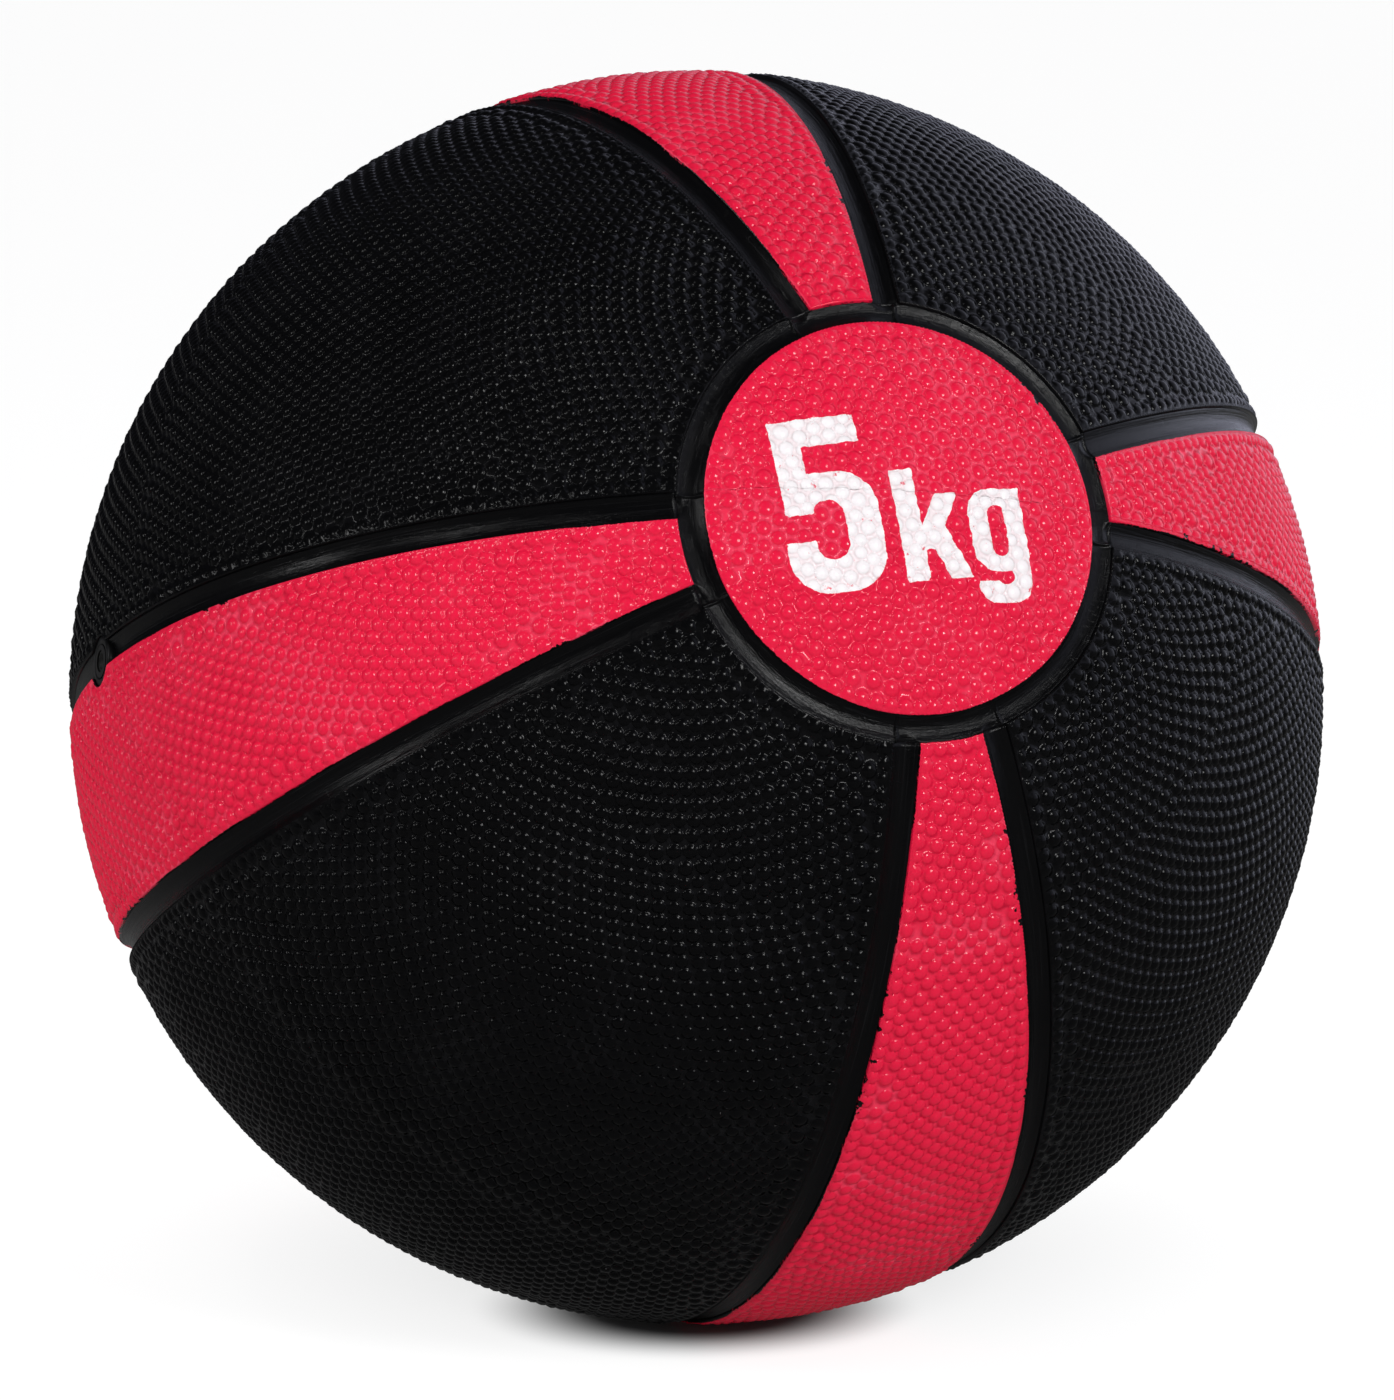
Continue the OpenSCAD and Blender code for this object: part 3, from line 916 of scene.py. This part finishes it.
# Painted shadow on the floor: how far the glow's fade reaches, near the touching point and behind the ball.
CONTACT_SHADE = (0.0205, 0.045)
BROAD_SHADE = (0.03, 0.12)
BROAD_SHADE_BACK = 0.06
BROAD_SHADE_DEPTH = 0.16


def towards(azimuth, elevation):
    """Unit vector from the ball. Azimuth 0 is in front, 90 to the right."""
    a, e = math.radians(azimuth), math.radians(elevation)
    return Vector((math.sin(a)*math.cos(e), -math.cos(a)*math.cos(e), math.sin(e)))


def aimed(item, back, distance):
    """Place a light or camera at a distance from the ball, looking at it."""
    item.location = Vector(CENTRE) + back*distance
    item.rotation_mode = "QUATERNION"
    item.rotation_quaternion = (-back).to_track_quat("-Z", "Y")
    bpy.context.scene.collection.objects.link(item)


def make_floor():
    """White floor that keeps the ball's shadow. It looks white by its own glow, which only the rays that
    see it get, and is dim in the ball's glossy black rubber. The glow fades near the point where the ball
    touches and in a wide patch behind it, a painted shadow that is darkest where it touches."""
    material = bpy.data.materials.new("floor")
    n = Nodes(material)
    shader = n.tree.nodes["Principled BSDF"]
    shader.inputs["Roughness"].default_value = 0.9
    shader.inputs["Specular IOR Level"].default_value = 0.1
    shader.inputs["Emission Color"].default_value = (1, 1, 1, 1)
    place = n.tree.nodes.new("ShaderNodeNewGeometry").outputs["Position"]
    # Painted shadow: the glow fades near the touching point and in a wide patch behind the ball.
    contact = n.ramp(n.vector_math("LENGTH", place), *CONTACT_SHADE)
    behind = n.vector_math("DISTANCE", place, towards(VIEW_AZIMUTH, 0)*-BROAD_SHADE_BACK)
    broad = n.ramp(behind, *BROAD_SHADE, 1 - BROAD_SHADE_DEPTH, 1.0)
    seen = n.rays("Is Camera Ray", "Is Glossy Ray", "Is Transmission Ray")
    mirrored = n.rays("Is Glossy Ray")
    glow = n.math("SUBTRACT", n.math("MULTIPLY", seen, 0.87), n.math("MULTIPLY", mirrored, 0.75))
    n.link(n.math("MULTIPLY", glow, n.math("MULTIPLY", contact, broad)), shader.inputs["Emission Strength"])
    colour = n.math("SUBTRACT", 0.80, n.math("MULTIPLY", seen, 0.52))
    n.link(n.math("SUBTRACT", colour, n.math("MULTIPLY", mirrored, 0.22)), shader.inputs["Base Color"])
    size = FLOOR_HALF
    corners = [(-size, -size, 0), (size, -size, 0), (size, size, 0), (-size, size, 0)]
    mesh = bpy.data.meshes.new("floor")
    mesh.from_pydata(corners, [], [(0, 1, 2, 3)])
    mesh.materials.append(material)
    floor = bpy.data.objects.new("floor", mesh)
    bpy.context.scene.collection.objects.link(floor)


def make_world():
    """White to the camera, and a plain room light. Glossy rubber mirrors a dim room with a white
    wall behind on the right."""
    world = bpy.data.worlds.new("studio")
    n = Nodes(world)
    background = n.tree.nodes["Background"]
    outward = n.tree.nodes.new("ShaderNodeTexCoord").outputs["Generated"]
    facing = n.vector_math("DOT_PRODUCT", outward, towards(VIEW_AZIMUTH + 120, 8))
    wall = n.ramp(facing, 0.30, 0.80)
    glossy = n.rays("Is Glossy Ray")
    room = n.math("MULTIPLY_ADD", glossy, -0.30, 0.33)
    mirrored_wall = n.math("MULTIPLY", glossy, n.math("MULTIPLY", wall, 1.1))
    seen = n.rays("Is Camera Ray", "Is Transmission Ray")
    strength = n.math("MAXIMUM", seen, n.math("ADD", room, mirrored_wall))
    n.link(strength, background.inputs["Strength"])
    n.link(n.mix(glossy, (1, 1, 1), (0.78, 0.80, 1.0)), background.inputs["Color"])
    bpy.context.scene.world = world


def area_light(name, azimuth, elevation, distance, size, level, colour=(1, 1, 1), mirrored=True):
    """A soft square light aimed at the ball. level 1 lights a white matt surface to white."""
    data = bpy.data.lights.new(name, "AREA")
    data.shape = "SQUARE"
    data.size = size
    data.energy = level*(math.pi*distance)**2
    data.color = colour
    light = bpy.data.objects.new(name, data)
    light.visible_glossy = mirrored
    aimed(light, towards(azimuth, elevation), distance)


def make_camera():
    """Camera where the photographer stood, found from the disc's and the strips' places in the photo."""
    data = bpy.data.cameras.new("camera")
    data.sensor_width = 36
    data.lens = VIEW_LENS
    data.shift_x, data.shift_y = VIEW_SHIFT
    camera = bpy.data.objects.new("camera", data)
    aimed(camera, towards(VIEW_AZIMUTH, VIEW_ELEVATION), VIEW_DISTANCE)
    bpy.context.scene.camera = camera


make_floor()
make_world()
area_light("key", VIEW_AZIMUTH + 31, 25, 1.4, 0.32, 0.52)
area_light("fill", VIEW_AZIMUTH - 62, 8, 1.6, 2.0, 0.36, mirrored=False)
area_light("top", VIEW_AZIMUTH - 42, 60, 1.5, 0.14, 0.035)
area_light("left", VIEW_AZIMUTH - 50, 32, 1.5, 0.22, 0.11)
area_light("side", VIEW_AZIMUTH - 77, 18, 1.5, 0.26, 0.13)
area_light("rim", VIEW_AZIMUTH + 120, 14, 1.5, 1.1, 0.12, (0.82, 0.87, 1.0))
make_camera()
bpy.context.scene.view_settings.view_transform = "Standard"
